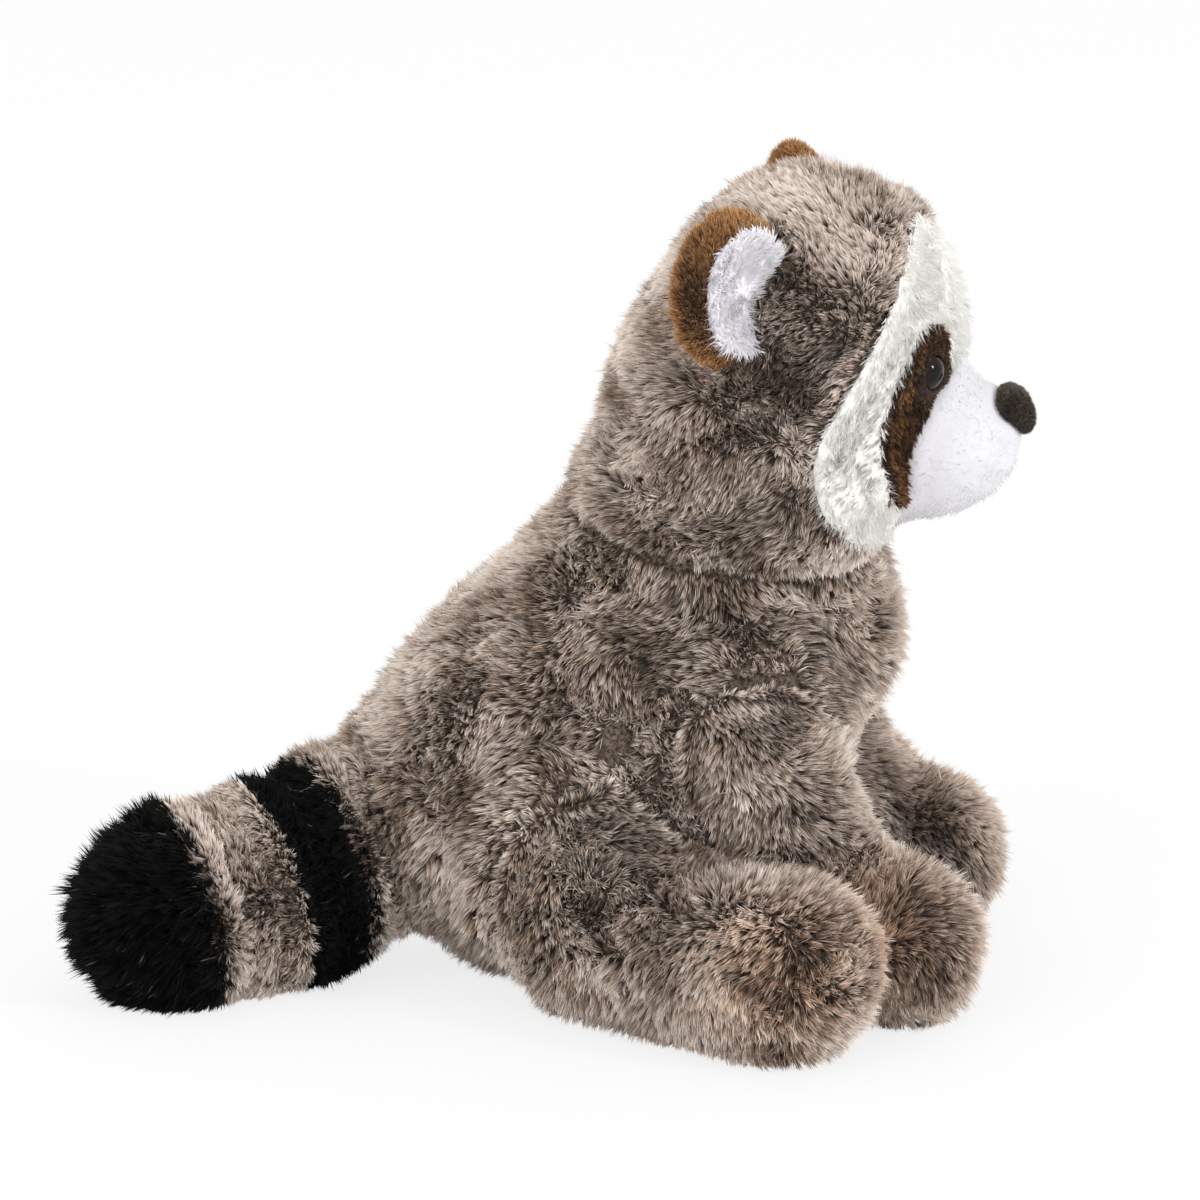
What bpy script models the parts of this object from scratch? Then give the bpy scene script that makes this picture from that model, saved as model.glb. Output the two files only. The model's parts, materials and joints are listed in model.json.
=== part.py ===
"""A seated plush raccoon, built from its sewn and stuffed pieces.

Metres. +X is the way the toy faces, +Y its left side and +Z up. The origin is the point on the
floor under the middle of the torso's flat seat. Every soft piece is a stuffed form: a few egg-shaped
lobes that run smoothly into each other. Where two pieces meet, the later one is cut back by the
earlier one, grown by the seam gap, so that they sit against each other as sewn pieces do.
"""

import math

import bmesh
import bpy
import numpy as np
from mathutils import Matrix, Vector

# Shared values
SEAM = 0.0003  # gap that is left between two pieces that are sewn or pressed together
BLEND = 0.004  # how softly the lobes of one stuffed piece run into each other
BLEND_SHARE = 0.3  # the same on thin pieces, as a share of the thinnest lobe's half thickness
FLOOR_PRESS = 0.004  # how far a resting piece would reach below the floor if it weren't flattened

# Torso, a pear that leans forward
SEAT_LENGTH = 0.140  # rump to belly
HIP_WIDTH = 0.116
RUMP_LENGTH = 0.116
RUMP_HEIGHT = 0.110
BELLY_LENGTH = 0.112
BELLY_WIDTH = 0.108
BELLY_HEIGHT = 0.094
BACK_LENGTH = 0.090
BACK_WIDTH = 0.100
BACK_HEIGHT = 0.070
BACK_RISE = 0.080  # floor to the middle of the back
BACK_SETBACK = 0.010  # middle of the back behind the middle of the seat
CHEST_LENGTH = 0.118
CHEST_WIDTH = 0.100
CHEST_HEIGHT = 0.092
CHEST_LEAN = 0.028  # how far the chest stands in front of the middle of the seat
TORSO_HEIGHT = 0.146  # floor to the top of the torso, inside the neck

# Head, a round skull on a full neck
HEAD_TURN = 5.0  # degrees that the head looks to the toy's right
SKULL_LENGTH = 0.086
SKULL_WIDTH = 0.100
SKULL_HEIGHT = 0.095
SKULL_LEAN = 0.030  # middle of the skull in front of the middle of the chest
SKULL_RISE = 0.038  # middle of the skull above the top of the torso
NAPE_LENGTH = 0.086
NAPE_WIDTH = 0.098
NAPE_HEIGHT = 0.072
NAPE_SETBACK = 0.013  # middle of the nape behind the middle of the skull
NAPE_DROP = 0.016  # middle of the nape below the middle of the skull
NECK_LENGTH = 0.094
NECK_WIDTH = 0.100
NECK_HEIGHT = 0.056
NECK_SETBACK = 0.022
NECK_DROP = 0.046
CHEEK_LENGTH = 0.054
CHEEK_WIDTH = 0.046
CHEEK_HEIGHT = 0.050
CHEEK_AHEAD = 0.004  # middle of the cheek in front of the middle of the skull
CHEEK_OUT = 0.026
CHEEK_DROP = 0.036

# Muzzle, a blunt snout with a bridge that runs up between the eyes
SNOUT_LENGTH = 0.066
SNOUT_WIDTH = 0.049
SNOUT_HEIGHT = 0.047
SNOUT_REACH = 0.0275  # middle of the snout in front of the middle of the skull
SNOUT_DROP = 0.0285  # middle of the snout below the middle of the skull
BRIDGE_LENGTH = 0.038
BRIDGE_WIDTH = 0.022
BRIDGE_HEIGHT = 0.050
BRIDGE_SETBACK = 0.005  # middle of the bridge behind the middle of the snout

# Nose, a small three-cornered pad
NOSE_WIDTH = 0.017
NOSE_HEIGHT = 0.0145
NOSE_DEPTH = 0.0085
NOSE_LOBE_HEIGHT = 0.0104  # each of its two lobes
NOSE_FOOT_WIDTH = 0.0102  # the lower lobe
NOSE_FOOT_DEPTH = 0.0080
NOSE_TILT = 18.0  # degrees above level, seen from the middle of the snout

# Face panels: a white band and a brown patch, with the depth of their pile
FACE_PILE = 0.006
BAND_CROWN = 0.033  # the white band's top edge in front of the skull's middle
BAND_EDGE = (  # its back edge from brow to jaw, in front of and above the skull's middle
    (0.029, 0.018),
    (0.022, 0.000),
    (0.015, -0.013),
    (0.010, -0.026),
    (0.014, -0.042),
    (0.026, -0.052),
    (0.040, -0.044),
)
PATCH_WIDTH = 0.025
PATCH_HEIGHT = 0.050
PATCH_OUT = 0.0030  # middle of the patch outside the eye
PATCH_DROP = 0.011  # middle of the patch below the eye
PATCH_LEAN = 8.0  # degrees that the top of the patch leans in

# Eye, a domed button on a ribbed post with a locking washer behind the cloth
EYE_DIAMETER = 0.0120
EYE_DOME = 0.0060
EYE_BACKING = 0.0012  # cloth between the back of the eye and the washer
EYE_DROP = 0.005  # eye below the middle of the skull
EYE_TURN = 27.0  # degrees out from straight ahead, seen from the middle of the skull
POST_DIAMETER = 0.004
POST_LENGTH = 0.011
POST_RIB = 0.0004
POST_CLEARANCE = 0.0003
WASHER_DIAMETER = 0.012
WASHER_THICKNESS = 0.0015
WASHER_COLLAR = 0.0012  # how far the washer's collar stands behind it

# Ear, a cupped disc with a lining
EAR_WIDTH = 0.041
EAR_HEIGHT = 0.042
EAR_THICKNESS = 0.015
EAR_TURN = 105.5  # degrees out from straight ahead, seen from the middle of the skull
EAR_LIFT = 24.0  # degrees above level, seen from the middle of the skull
EAR_STAND = 0.005  # middle of the ear outside the skull
EAR_FACING = 28.0  # degrees out from straight ahead that the cup faces
CUP_RIM = 0.0045  # width of the ear's brown rim
CUP_DEPTH = 0.0080
DISH_DEPTH = 0.0030  # how far the lining is dished below the front of the ear
DISH_RADIUS = 0.032

# Front leg
SHOULDER_LENGTH = 0.054
SHOULDER_WIDTH = 0.042
SHOULDER_HEIGHT = 0.058
SHOULDER_RISE = 0.077
SHOULDER_AHEAD = 0.018  # in front of the middle of the chest
SHOULDER_INSET = 0.014  # inside the side of the chest
FOREARM_LENGTH = 0.076
FOREARM_WIDTH = 0.040
FOREARM_DEPTH = 0.042
FOREARM_SLOPE = 66.0  # degrees that the forearm stands above level
FOREARM_AHEAD = 0.013  # middle of the forearm in front of the shoulder
FOREARM_DROP = 0.025  # middle of the forearm below the shoulder
PAW_LENGTH = 0.046
PAW_WIDTH = 0.044
PAW_HEIGHT = 0.049
PAW_REACH = 0.045  # paw in front of the shoulder
PAW_SPREAD = 0.004  # paw outside the shoulder

# Hind leg
THIGH_LENGTH = 0.063
THIGH_WIDTH = 0.050
THIGH_HEIGHT = 0.078
THIGH_INSET = 0.012  # inside the side of the hips
THIGH_AHEAD = 0.004  # in front of the middle of the seat
SHIN_LENGTH = 0.058
SHIN_WIDTH = 0.044
SHIN_HEIGHT = 0.049
FOOT_LENGTH = 0.062
FOOT_WIDTH = 0.050
FOOT_HEIGHT = 0.055
FOOT_REACH = 0.055  # foot in front of the thigh
FOOT_SPLAY = 0.027  # foot outside the thigh

# Tail, four sewn bands on a curved line
TAIL_HEADING = 41.0  # degrees to the toy's right of straight back, where the tail leaves the rump
TAIL_CURL = 12.0  # degrees that the tail turns back before its tip
TAIL_LEAN = 9.0  # degrees that the bands lean back from upright
TAIL_RISE = 0.044  # floor to the middle of the tail's root
TAIL_DIAMETER = 0.056
TAIL_BULGE = 0.007  # how much thicker the middle of the tail is than its root
TAIL_TAPER = 0.009  # how much thinner its end is than its root, before the tip is rounded
TAIL_ROOT_LENGTH = 0.032  # the part inside the rump counts
TAIL_RING_LENGTH = 0.019
TAIL_BAND_LENGTH = 0.024
TAIL_TIP_LENGTH = 0.032
TAIL_START = 0.020  # where the tail's middle line starts, in front of the rump's back
TAIL_TIP_ROUND = 0.030  # length of the tip's round end
TAIL_PUCKER = 0.0014  # how far each seam pulls the tail in
TAIL_PUCKER_REACH = 0.004  # how far along the tail that pull is felt

# Fineness of the meshes
BODY_GRID = 9  # faces along each side of the gridded ball that a piece starts from
LIMB_GRID = 6
SMALL_GRID = 5
NOSE_GRID = 4
TURNED_SIDES = 10
DOME_STEPS = 4
OVAL_SIDES = 12
OUTLINE_STEPS = 2
TAIL_SIDES = 16
TAIL_STEPS = 24  # short steps that the tail's middle line is laid out in
RAY_STEPS = 90  # how finely a ray is searched for the skin, and how often that is halved
RAY_HALVINGS = 22
CREASE_ANGLE = 45.0  # edges that bend more than this many degrees are drawn sharp

# Colours, with roughness
GREY_PILE = ("frosted_grey_plush", (0.36, 0.31, 0.28), 0.95)
WHITE_PILE = ("white_plush", (0.86, 0.86, 0.84), 0.95)
SHORT_WHITE_PILE = ("short_white_plush", (0.84, 0.83, 0.87), 0.95)
BROWN_PILE = ("brown_plush", (0.16, 0.075, 0.035), 0.9)
BLACK_PILE = ("black_plush", (0.012, 0.012, 0.012), 0.95)
NOSE_PILE = ("black_nose_plush", (0.03, 0.03, 0.03), 0.9)
EYE_PLASTIC = ("eye_plastic", (0.03, 0.015, 0.008), 0.08)
WASHER_PLASTIC = ("washer_plastic", (0.8, 0.8, 0.78), 0.45)

SIDES = (("right", -1), ("left", 1))


def clear_scene():
    for thing in list(bpy.data.objects):
        bpy.data.objects.remove(thing, do_unlink=True)


def material(look):
    """The Principled material of one finish, made the first time it is asked for."""
    name, colour, roughness = look
    found = bpy.data.materials.get(name)
    if found:
        return found
    made = bpy.data.materials.new(name)
    made.use_nodes = True
    shader = made.node_tree.nodes["Principled BSDF"]
    shader.inputs["Base Color"].default_value = (*colour, 1.0)
    shader.inputs["Roughness"].default_value = roughness
    shader.inputs["Metallic"].default_value = 0.0
    return made


def add_object(name, bm, look=None):
    """A mesh object made from bm. With no look it is a hidden cutter."""
    bmesh.ops.recalc_face_normals(bm, faces=bm.faces)
    mesh = bpy.data.meshes.new(name)
    bm.to_mesh(mesh)
    bm.free()
    mesh.shade_smooth()
    made = bpy.data.objects.new(name, mesh)
    bpy.context.scene.collection.objects.link(made)
    if look:
        mesh.materials.append(material(look))
    else:
        made.hide_render = True
        made.display_type = "WIRE"
    return made


def boolean(target, tool, operation):
    step = target.modifiers.new(f"{operation.lower()} {tool.name}", "BOOLEAN")
    step.operation = operation
    step.solver = "EXACT"
    step.object = tool


def lobe(centre, size, turn=0.0, pitch=0.0):
    """One egg-shaped lobe: its middle, its full sizes, and its turn about Z and pitch in degrees."""
    turned = Matrix.Rotation(math.radians(turn), 3, "Z") @ Matrix.Rotation(math.radians(pitch), 3, "Y")
    return np.array(centre, float), np.array(size, float) / 2, np.array(turned)


def distance_to(lobes, points):
    """Signed distance from each point to the smooth skin round the lobes, nearly exact close to it."""
    blend = min([BLEND] + [BLEND_SHARE * radii.min() for _, radii, _ in lobes])
    total = np.zeros(len(points))
    for centre, radii, axes in lobes:
        local = (points - centre) @ axes
        level = np.linalg.norm(local / radii, axis=1)
        slope = np.maximum(np.linalg.norm(local / radii**2, axis=1), 1e-9)
        total += np.exp(-np.clip(level * (level - 1) / slope / blend, -60, 60))
    return -blend * np.log(total)


def reach_of(lobes):
    """Lowest and highest corner of the box round all the lobes."""
    spans = [(c, np.sqrt(((axes * radii) ** 2).sum(axis=1))) for c, radii, axes in lobes]
    return np.min([c - s for c, s in spans], axis=0), np.max([c + s for c, s in spans], axis=0)


def skin_points(lobes, core, directions, offset=0.0):
    """Where rays from the core leave the skin for the last time, grown by offset."""
    low, high = reach_of(lobes)
    furthest = np.linalg.norm(high - low)
    steps = np.linspace(furthest, 0.0, RAY_STEPS)
    inside = np.stack(
        [distance_to(lobes, core + directions * step) < offset for step in steps], axis=1
    )
    first = inside.argmax(axis=1)
    near, far = steps[first], steps[np.maximum(first - 1, 0)]
    for _ in range(RAY_HALVINGS):
        middle = (near + far) / 2
        within = distance_to(lobes, core + directions * middle[:, None]) < offset
        near, far = np.where(within, middle, near), np.where(within, far, middle)
    return core + directions * near[:, None]


def skin_spot(lobes, core, direction):
    """The point of the skin that a ray from the core leaves by, and the skin's outward normal there."""
    aimed = np.array([Vector(direction).normalized()[:]])
    spot = skin_points(lobes, np.array(core, float), aimed)[0]
    step = 1e-4
    around = np.array([spot + side * step * axis for axis in np.eye(3) for side in (1, -1)])
    found = distance_to(lobes, around)
    normal = Vector(found[0::2] - found[1::2]).normalized()
    return Vector(spot), normal


def stuffed(name, lobes, grid, look=None, offset=0.0, core=None):
    """A stuffed form: a gridded ball whose points are moved out to the skin round the lobes.

    The rays start at the core, or at the middle of the lobes, and a lone lobe's ball is turned as the
    lobe is. The form is flat where it rests.
    """
    bm = bmesh.new()
    bmesh.ops.create_cube(bm, size=2.0)
    bmesh.ops.subdivide_edges(bm, edges=bm.edges[:], cuts=grid - 1, use_grid_fill=True)
    low, high = reach_of(lobes)
    ball = np.tan(np.array([v.co[:] for v in bm.verts]) * math.pi / 4)
    ball /= np.linalg.norm(ball, axis=1)[:, None]
    directions = ball * (high - low)
    if len(lobes) == 1:
        _, radii, axes = lobes[0]
        directions = (ball * radii) @ axes.T
    directions /= np.linalg.norm(directions, axis=1)[:, None]
    points = skin_points(lobes, (low + high) / 2 if core is None else core, directions, offset)
    points[:, 2] = np.maximum(points[:, 2], 0.0)
    bmesh.ops.triangulate(bm, faces=bm.faces[:], quad_method="FIXED")
    for vert, point in zip(bm.verts, points):
        vert.co = point
    return add_object(name, bm, look)


def prism(name, outline, along, start, end, look=None):
    """An outline of (u, v) points pushed along X or Y, from start to end."""
    bm = bmesh.new()
    place = {"X": lambda u, v, w: (w, u, v), "Y": lambda u, v, w: (u, w, v)}[along]
    verts = [bm.verts.new(place(u, v, start)) for u, v in outline]
    face = bm.faces.new(verts)
    pushed = bmesh.ops.extrude_face_region(bm, geom=[face])
    moved = [g for g in pushed["geom"] if isinstance(g, bmesh.types.BMVert)]
    step = Vector(place(0, 0, end)) - Vector(place(0, 0, start))
    bmesh.ops.translate(bm, verts=moved, vec=step)
    return add_object(name, bm, look)


def turned(name, profile, spot, normal, look=None, closed=False):
    """A profile of (radius, height) points spun about the normal at the spot.

    An open profile starts and ends on the axis. A closed one is a ring.
    """
    bm = bmesh.new()
    verts = [bm.verts.new((radius, 0, height)) for radius, height in profile]
    edges = [bm.edges.new(pair) for pair in zip(verts, verts[1:])]
    if closed:
        edges.append(bm.edges.new((verts[-1], verts[0])))
    bmesh.ops.spin(
        bm,
        geom=verts + edges,
        cent=(0, 0, 0),
        axis=(0, 0, 1),
        angle=2 * math.pi,
        steps=TURNED_SIDES,
        use_merge=True,
    )
    bmesh.ops.remove_doubles(bm, verts=bm.verts, dist=1e-6)
    placed = Matrix.Translation(spot) @ normal.to_track_quat("Z", "Y").to_matrix().to_4x4()
    bmesh.ops.transform(bm, matrix=placed, verts=bm.verts)
    return add_object(name, bm, look)


def smooth_outline(points):
    """A closed outline that runs smoothly through its points."""
    found = []
    count = len(points)
    for i in range(count):
        a, b, c, d = (Vector(points[(i + k) % count]) for k in (-1, 0, 1, 2))
        for step in range(OUTLINE_STEPS):
            t = step / OUTLINE_STEPS
            bend = (2 * a - 5 * b + 4 * c - d) * t**2 + (3 * b - a - 3 * c + d) * t**3
            found.append(tuple(b + ((c - a) * t + bend) / 2))
    return found


def grown(outline, amount):
    """A counter-clockwise outline moved outwards by an amount, or inwards where that is negative."""
    found = []
    for i, (u, v) in enumerate(outline):
        before, after = Vector(outline[i - 1]), Vector(outline[(i + 1) % len(outline)])
        along = (after - before).normalized()
        found.append((u + along.y * amount, v - along.x * amount))
    return found


def oval(centre, width, height, lean):
    """An oval outline whose top leans by so many degrees."""
    turned_by = math.radians(lean)
    found = []
    for i in range(OVAL_SIDES):
        angle = 2 * math.pi * i / OVAL_SIDES
        u = width / 2 * math.cos(angle)
        v = height / 2 * math.sin(angle)
        found.append(
            (
                centre[0] + u * math.cos(turned_by) - v * math.sin(turned_by),
                centre[1] + u * math.sin(turned_by) + v * math.cos(turned_by),
            )
        )
    return found


def heading(turn, lift, side):
    """The direction that is so many degrees out from straight ahead and above level, on one side."""
    out, up = math.radians(turn), math.radians(lift)
    return Vector((math.cos(out) * math.cos(up), side * math.sin(out) * math.cos(up), math.sin(up)))


# Where the main forms lie, worked out from the sizes above
CHEST = Vector((CHEST_LEAN, 0.0, TORSO_HEIGHT - CHEST_HEIGHT / 2))
SKULL = Vector((CHEST_LEAN + SKULL_LEAN, 0.0, TORSO_HEIGHT + SKULL_RISE))
SNOUT = SKULL + Vector((SNOUT_REACH, 0.0, -SNOUT_DROP))
TAIL_LENGTH = TAIL_ROOT_LENGTH + TAIL_RING_LENGTH + TAIL_BAND_LENGTH + TAIL_TIP_LENGTH


def torso_lobes():
    rump = (-SEAT_LENGTH / 2 + RUMP_LENGTH / 2, 0.0, RUMP_HEIGHT / 2 - FLOOR_PRESS)
    belly = (SEAT_LENGTH / 2 - BELLY_LENGTH / 2, 0.0, BELLY_HEIGHT / 2 - FLOOR_PRESS)
    back = (-BACK_SETBACK, 0.0, BACK_RISE)
    return [
        lobe(rump, (RUMP_LENGTH, HIP_WIDTH, RUMP_HEIGHT)),
        lobe(belly, (BELLY_LENGTH, BELLY_WIDTH, BELLY_HEIGHT)),
        lobe(back, (BACK_LENGTH, BACK_WIDTH, BACK_HEIGHT)),
        lobe(CHEST, (CHEST_LENGTH, CHEST_WIDTH, CHEST_HEIGHT)),
    ]


def head_lobes():
    nape = SKULL - Vector((NAPE_SETBACK, 0.0, NAPE_DROP))
    neck = SKULL - Vector((NECK_SETBACK, 0.0, NECK_DROP))
    return [
        lobe(SKULL, (SKULL_LENGTH, SKULL_WIDTH, SKULL_HEIGHT)),
        lobe(nape, (NAPE_LENGTH, NAPE_WIDTH, NAPE_HEIGHT)),
        lobe(neck, (NECK_LENGTH, NECK_WIDTH, NECK_HEIGHT)),
        *(
            lobe(
                SKULL + Vector((CHEEK_AHEAD, side * CHEEK_OUT, -CHEEK_DROP)),
                (CHEEK_LENGTH, CHEEK_WIDTH, CHEEK_HEIGHT),
            )
            for _, side in SIDES
        ),
    ]


def muzzle_lobes():
    bridge = (SNOUT.x - BRIDGE_SETBACK, 0.0, SKULL.z)
    return [
        lobe(SNOUT, (SNOUT_LENGTH, SNOUT_WIDTH, SNOUT_HEIGHT)),
        lobe(bridge, (BRIDGE_LENGTH, BRIDGE_WIDTH, BRIDGE_HEIGHT)),
    ]


def front_leg_lobes(side):
    across = side * (CHEST_WIDTH / 2 - SHOULDER_INSET)
    shoulder = Vector((CHEST.x + SHOULDER_AHEAD, across, SHOULDER_RISE))
    paw = Vector((shoulder.x + PAW_REACH, across + side * PAW_SPREAD, PAW_HEIGHT / 2 - FLOOR_PRESS / 2))
    forearm = shoulder + Vector((FOREARM_AHEAD, 0.0, -FOREARM_DROP))
    return [
        lobe(shoulder, (SHOULDER_LENGTH, SHOULDER_WIDTH, SHOULDER_HEIGHT)),
        lobe(forearm, (FOREARM_LENGTH, FOREARM_WIDTH, FOREARM_DEPTH), pitch=FOREARM_SLOPE),
        lobe(paw, (PAW_LENGTH, PAW_WIDTH, PAW_HEIGHT)),
    ]


def hind_leg_lobes(side):
    thigh = Vector((THIGH_AHEAD, side * (HIP_WIDTH / 2 - THIGH_INSET), THIGH_HEIGHT / 2 - FLOOR_PRESS / 2))
    foot = Vector((thigh.x + FOOT_REACH, thigh.y + side * FOOT_SPLAY, FOOT_HEIGHT / 2 - FLOOR_PRESS / 2))
    shin = thigh.lerp(foot, 0.5)
    shin.z = SHIN_HEIGHT / 2 - FLOOR_PRESS / 2
    return [
        lobe(thigh, (THIGH_LENGTH, THIGH_WIDTH, THIGH_HEIGHT)),
        lobe(shin, (SHIN_LENGTH, SHIN_WIDTH, SHIN_HEIGHT)),
        lobe(foot, (FOOT_LENGTH, FOOT_WIDTH, FOOT_HEIGHT)),
    ]


def band_outline():
    """The white band seen from the side: a smooth line from the crown round the cheek to the jaw."""
    crown = SKULL.z + SKULL_HEIGHT / 2
    ahead = SNOUT.x + SNOUT_LENGTH / 2
    edge = [(SKULL.x + forward, SKULL.z + up) for forward, up in BAND_EDGE]
    return smooth_outline([(SKULL.x + BAND_CROWN, crown), *edge, (ahead, edge[-1][1]), (ahead, crown)])


def build_torso():
    stuffed("torso", torso_lobes(), BODY_GRID, GREY_PILE)
    return stuffed("torso_seam", torso_lobes(), BODY_GRID, offset=SEAM)


def build_muzzle(torso_seam):
    muzzle = stuffed("muzzle", muzzle_lobes(), LIMB_GRID, SHORT_WHITE_PILE)
    boolean(muzzle, torso_seam, "DIFFERENCE")
    return muzzle, stuffed("muzzle_seam", muzzle_lobes(), LIMB_GRID, offset=SEAM)


def build_nose(muzzle_seam):
    spot, normal = skin_spot(muzzle_lobes(), SNOUT, heading(0.0, NOSE_TILT, 1))
    up = Vector((-normal.z, 0.0, normal.x))
    pitch = -math.degrees(math.atan2(normal.z, normal.x))
    apart = NOSE_HEIGHT - NOSE_LOBE_HEIGHT
    top = spot + up * apart / 2
    low = spot - up * apart / 2
    lobes = [
        lobe(top, (NOSE_DEPTH, NOSE_WIDTH, NOSE_LOBE_HEIGHT), pitch=pitch),
        lobe(low, (NOSE_FOOT_DEPTH, NOSE_FOOT_WIDTH, NOSE_LOBE_HEIGHT), pitch=pitch),
    ]
    nose = stuffed("nose", lobes, NOSE_GRID, NOSE_PILE)
    boolean(nose, muzzle_seam, "DIFFERENCE")


def eye_profile(grow=0.0):
    """The eye's dome and its ribbed post, from the top of the dome down to the end of the post."""
    radius = EYE_DIAMETER / 2 + grow
    post = POST_DIAMETER / 2 + grow
    dome = [
        (radius * math.sin(a), (EYE_DOME + grow) * math.cos(a))
        for a in (math.pi / 2 * i / DOME_STEPS for i in range(DOME_STEPS + 1))
    ]
    profile = dome + [(radius, -grow), (post, -grow)] if grow else dome + [(post, 0.0)]
    if not grow:
        first = EYE_BACKING + WASHER_THICKNESS + WASHER_COLLAR + 2 * SEAM
        for k in range(2):
            height = -first - k * 3 * POST_RIB
            profile += [
                (post, height),
                (post + POST_RIB, height - POST_RIB),
                (post, height - 2 * POST_RIB),
            ]
    return profile + [(post, -POST_LENGTH - grow), (0.0, -POST_LENGTH - grow)]


def washer_profile():
    """The locking washer: a flat ring with a collar round its hole, as a closed outline."""
    hole = POST_DIAMETER / 2 + POST_CLEARANCE
    face = -EYE_BACKING - SEAM
    back = face - WASHER_THICKNESS
    rim = WASHER_DIAMETER / 2
    return [
        (hole, face),
        (rim, face),
        (rim, back),
        (hole + WASHER_COLLAR, back),
        (hole + WASHER_COLLAR / 2, back - WASHER_COLLAR),
        (hole, back - WASHER_COLLAR),
    ]


def pocket_profile(top):
    """The room, from a top height down, for the washer and the end of the post."""
    wide = WASHER_DIAMETER / 2 + SEAM
    narrow = POST_DIAMETER / 2 + POST_RIB + SEAM
    washer_end = -EYE_BACKING - WASHER_THICKNESS - WASHER_COLLAR - 2 * SEAM
    return [
        (0.0, top),
        (wide, top),
        (wide, washer_end),
        (narrow, washer_end),
        (narrow, -POST_LENGTH - SEAM),
        (0.0, -POST_LENGTH - SEAM),
    ]


def build_face(torso_seam, muzzle, muzzle_seam):
    """The head with the panels that are sewn into it, the eyes and their washers."""
    lobes = head_lobes()
    head = stuffed("head", lobes, BODY_GRID, GREY_PILE)
    front = SNOUT.x + SNOUT_LENGTH
    behind = stuffed("behind_panels", lobes, SMALL_GRID, offset=-FACE_PILE)
    behind_seam = stuffed("behind_panels_seam", lobes, SMALL_GRID, offset=SEAM - FACE_PILE)
    recess = prism("face_recess", band_outline(), "Y", -SKULL_WIDTH, SKULL_WIDTH)
    boolean(recess, behind, "DIFFERENCE")
    for tool in (recess, muzzle_seam, torso_seam):
        boolean(head, tool, "DIFFERENCE")
    for name, side in SIDES:
        eye_level = SKULL - Vector((0.0, 0.0, EYE_DROP))
        spot, normal = skin_spot(lobes, eye_level, heading(EYE_TURN, 0.0, side))
        middle = (spot.y + side * PATCH_OUT, spot.z - PATCH_DROP)
        shape = (middle, PATCH_WIDTH, PATCH_HEIGHT, side * PATCH_LEAN)
        patch_area = prism(f"patch_area_{name}", oval(*shape), "X", SKULL.x, front)
        patch_seam = prism(f"patch_seam_{name}", grown(oval(*shape), SEAM), "X", SKULL.x, front)
        inner, outer = side * SEAM / 2, side * SKULL_WIDTH
        band_area = prism(f"band_area_{name}", grown(band_outline(), -SEAM), "Y", inner, outer)

        seat = spot - normal * (FACE_PILE - EYE_BACKING)
        turned(f"eye_{name}", eye_profile(), seat, normal, EYE_PLASTIC)
        eye_seam = turned(f"eye_seam_{name}", eye_profile(SEAM), seat, normal)
        turned(f"eye_washer_{name}", washer_profile(), seat, normal, WASHER_PLASTIC, closed=True)
        pocket = turned(f"washer_pocket_{name}", pocket_profile(EYE_DOME), seat, normal)
        under_cloth = turned(f"under_cloth_{name}", pocket_profile(-EYE_BACKING), seat, normal)
        boolean(head, pocket, "DIFFERENCE")
        for tool in (eye_seam, under_cloth):
            boolean(muzzle, tool, "DIFFERENCE")

        patch = stuffed(f"eye_patch_{name}", lobes, BODY_GRID, BROWN_PILE)
        boolean(patch, patch_area, "INTERSECT")
        for tool in (behind_seam, muzzle_seam, eye_seam, under_cloth):
            boolean(patch, tool, "DIFFERENCE")

        band = stuffed(f"cheek_band_{name}", lobes, BODY_GRID, WHITE_PILE)
        boolean(band, band_area, "INTERSECT")
        for tool in (behind_seam, patch_seam, muzzle_seam, torso_seam):
            boolean(band, tool, "DIFFERENCE")
    return stuffed("head_seam", lobes, BODY_GRID, offset=SEAM)


def ear_frame(side):
    """The middle of one ear and the way that its cup faces."""
    out = heading(EAR_TURN, EAR_LIFT, side)
    spot, _ = skin_spot(head_lobes(), SKULL, out)
    return spot + out * EAR_STAND, heading(EAR_FACING, 0.0, side)


def build_ears(head_seam):
    """Each ear is a stuffed disc with a cup in its front, and a lining that lies in the cup."""
    for name, side in SIDES:
        middle, facing = ear_frame(side)
        turn = side * EAR_FACING
        disc = [lobe(middle, (EAR_THICKNESS, EAR_WIDTH, EAR_HEIGHT), turn)]
        front = middle + facing * EAR_THICKNESS / 2
        cup_size = (2 * CUP_DEPTH, EAR_WIDTH - 2 * CUP_RIM, EAR_HEIGHT - 2 * CUP_RIM)
        cup = [lobe(front, cup_size, turn)]
        dish = [lobe(front + facing * (DISH_RADIUS - DISH_DEPTH), (2 * DISH_RADIUS,) * 3, turn)]
        cup_cut = stuffed(f"ear_cup_{name}", cup, SMALL_GRID)
        dish_cut = stuffed(f"ear_dish_{name}", dish, SMALL_GRID)
        ear = stuffed(f"ear_{name}", disc, LIMB_GRID, BROWN_PILE)
        for tool in (cup_cut, head_seam):
            boolean(ear, tool, "DIFFERENCE")
        lining = stuffed(f"ear_lining_{name}", cup, SMALL_GRID, SHORT_WHITE_PILE, offset=-SEAM)
        for tool in (dish_cut, head_seam):
            boolean(lining, tool, "DIFFERENCE")


def turn_head():
    """Turns all that belongs to the head, cutters too, about the upright line through the skull's middle."""
    about = Matrix.Translation(SKULL)
    turned_by = about @ Matrix.Rotation(math.radians(-HEAD_TURN), 4, "Z") @ about.inverted()
    for thing in bpy.data.objects:
        if not thing.name.startswith("torso"):
            thing.matrix_world = turned_by


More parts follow.
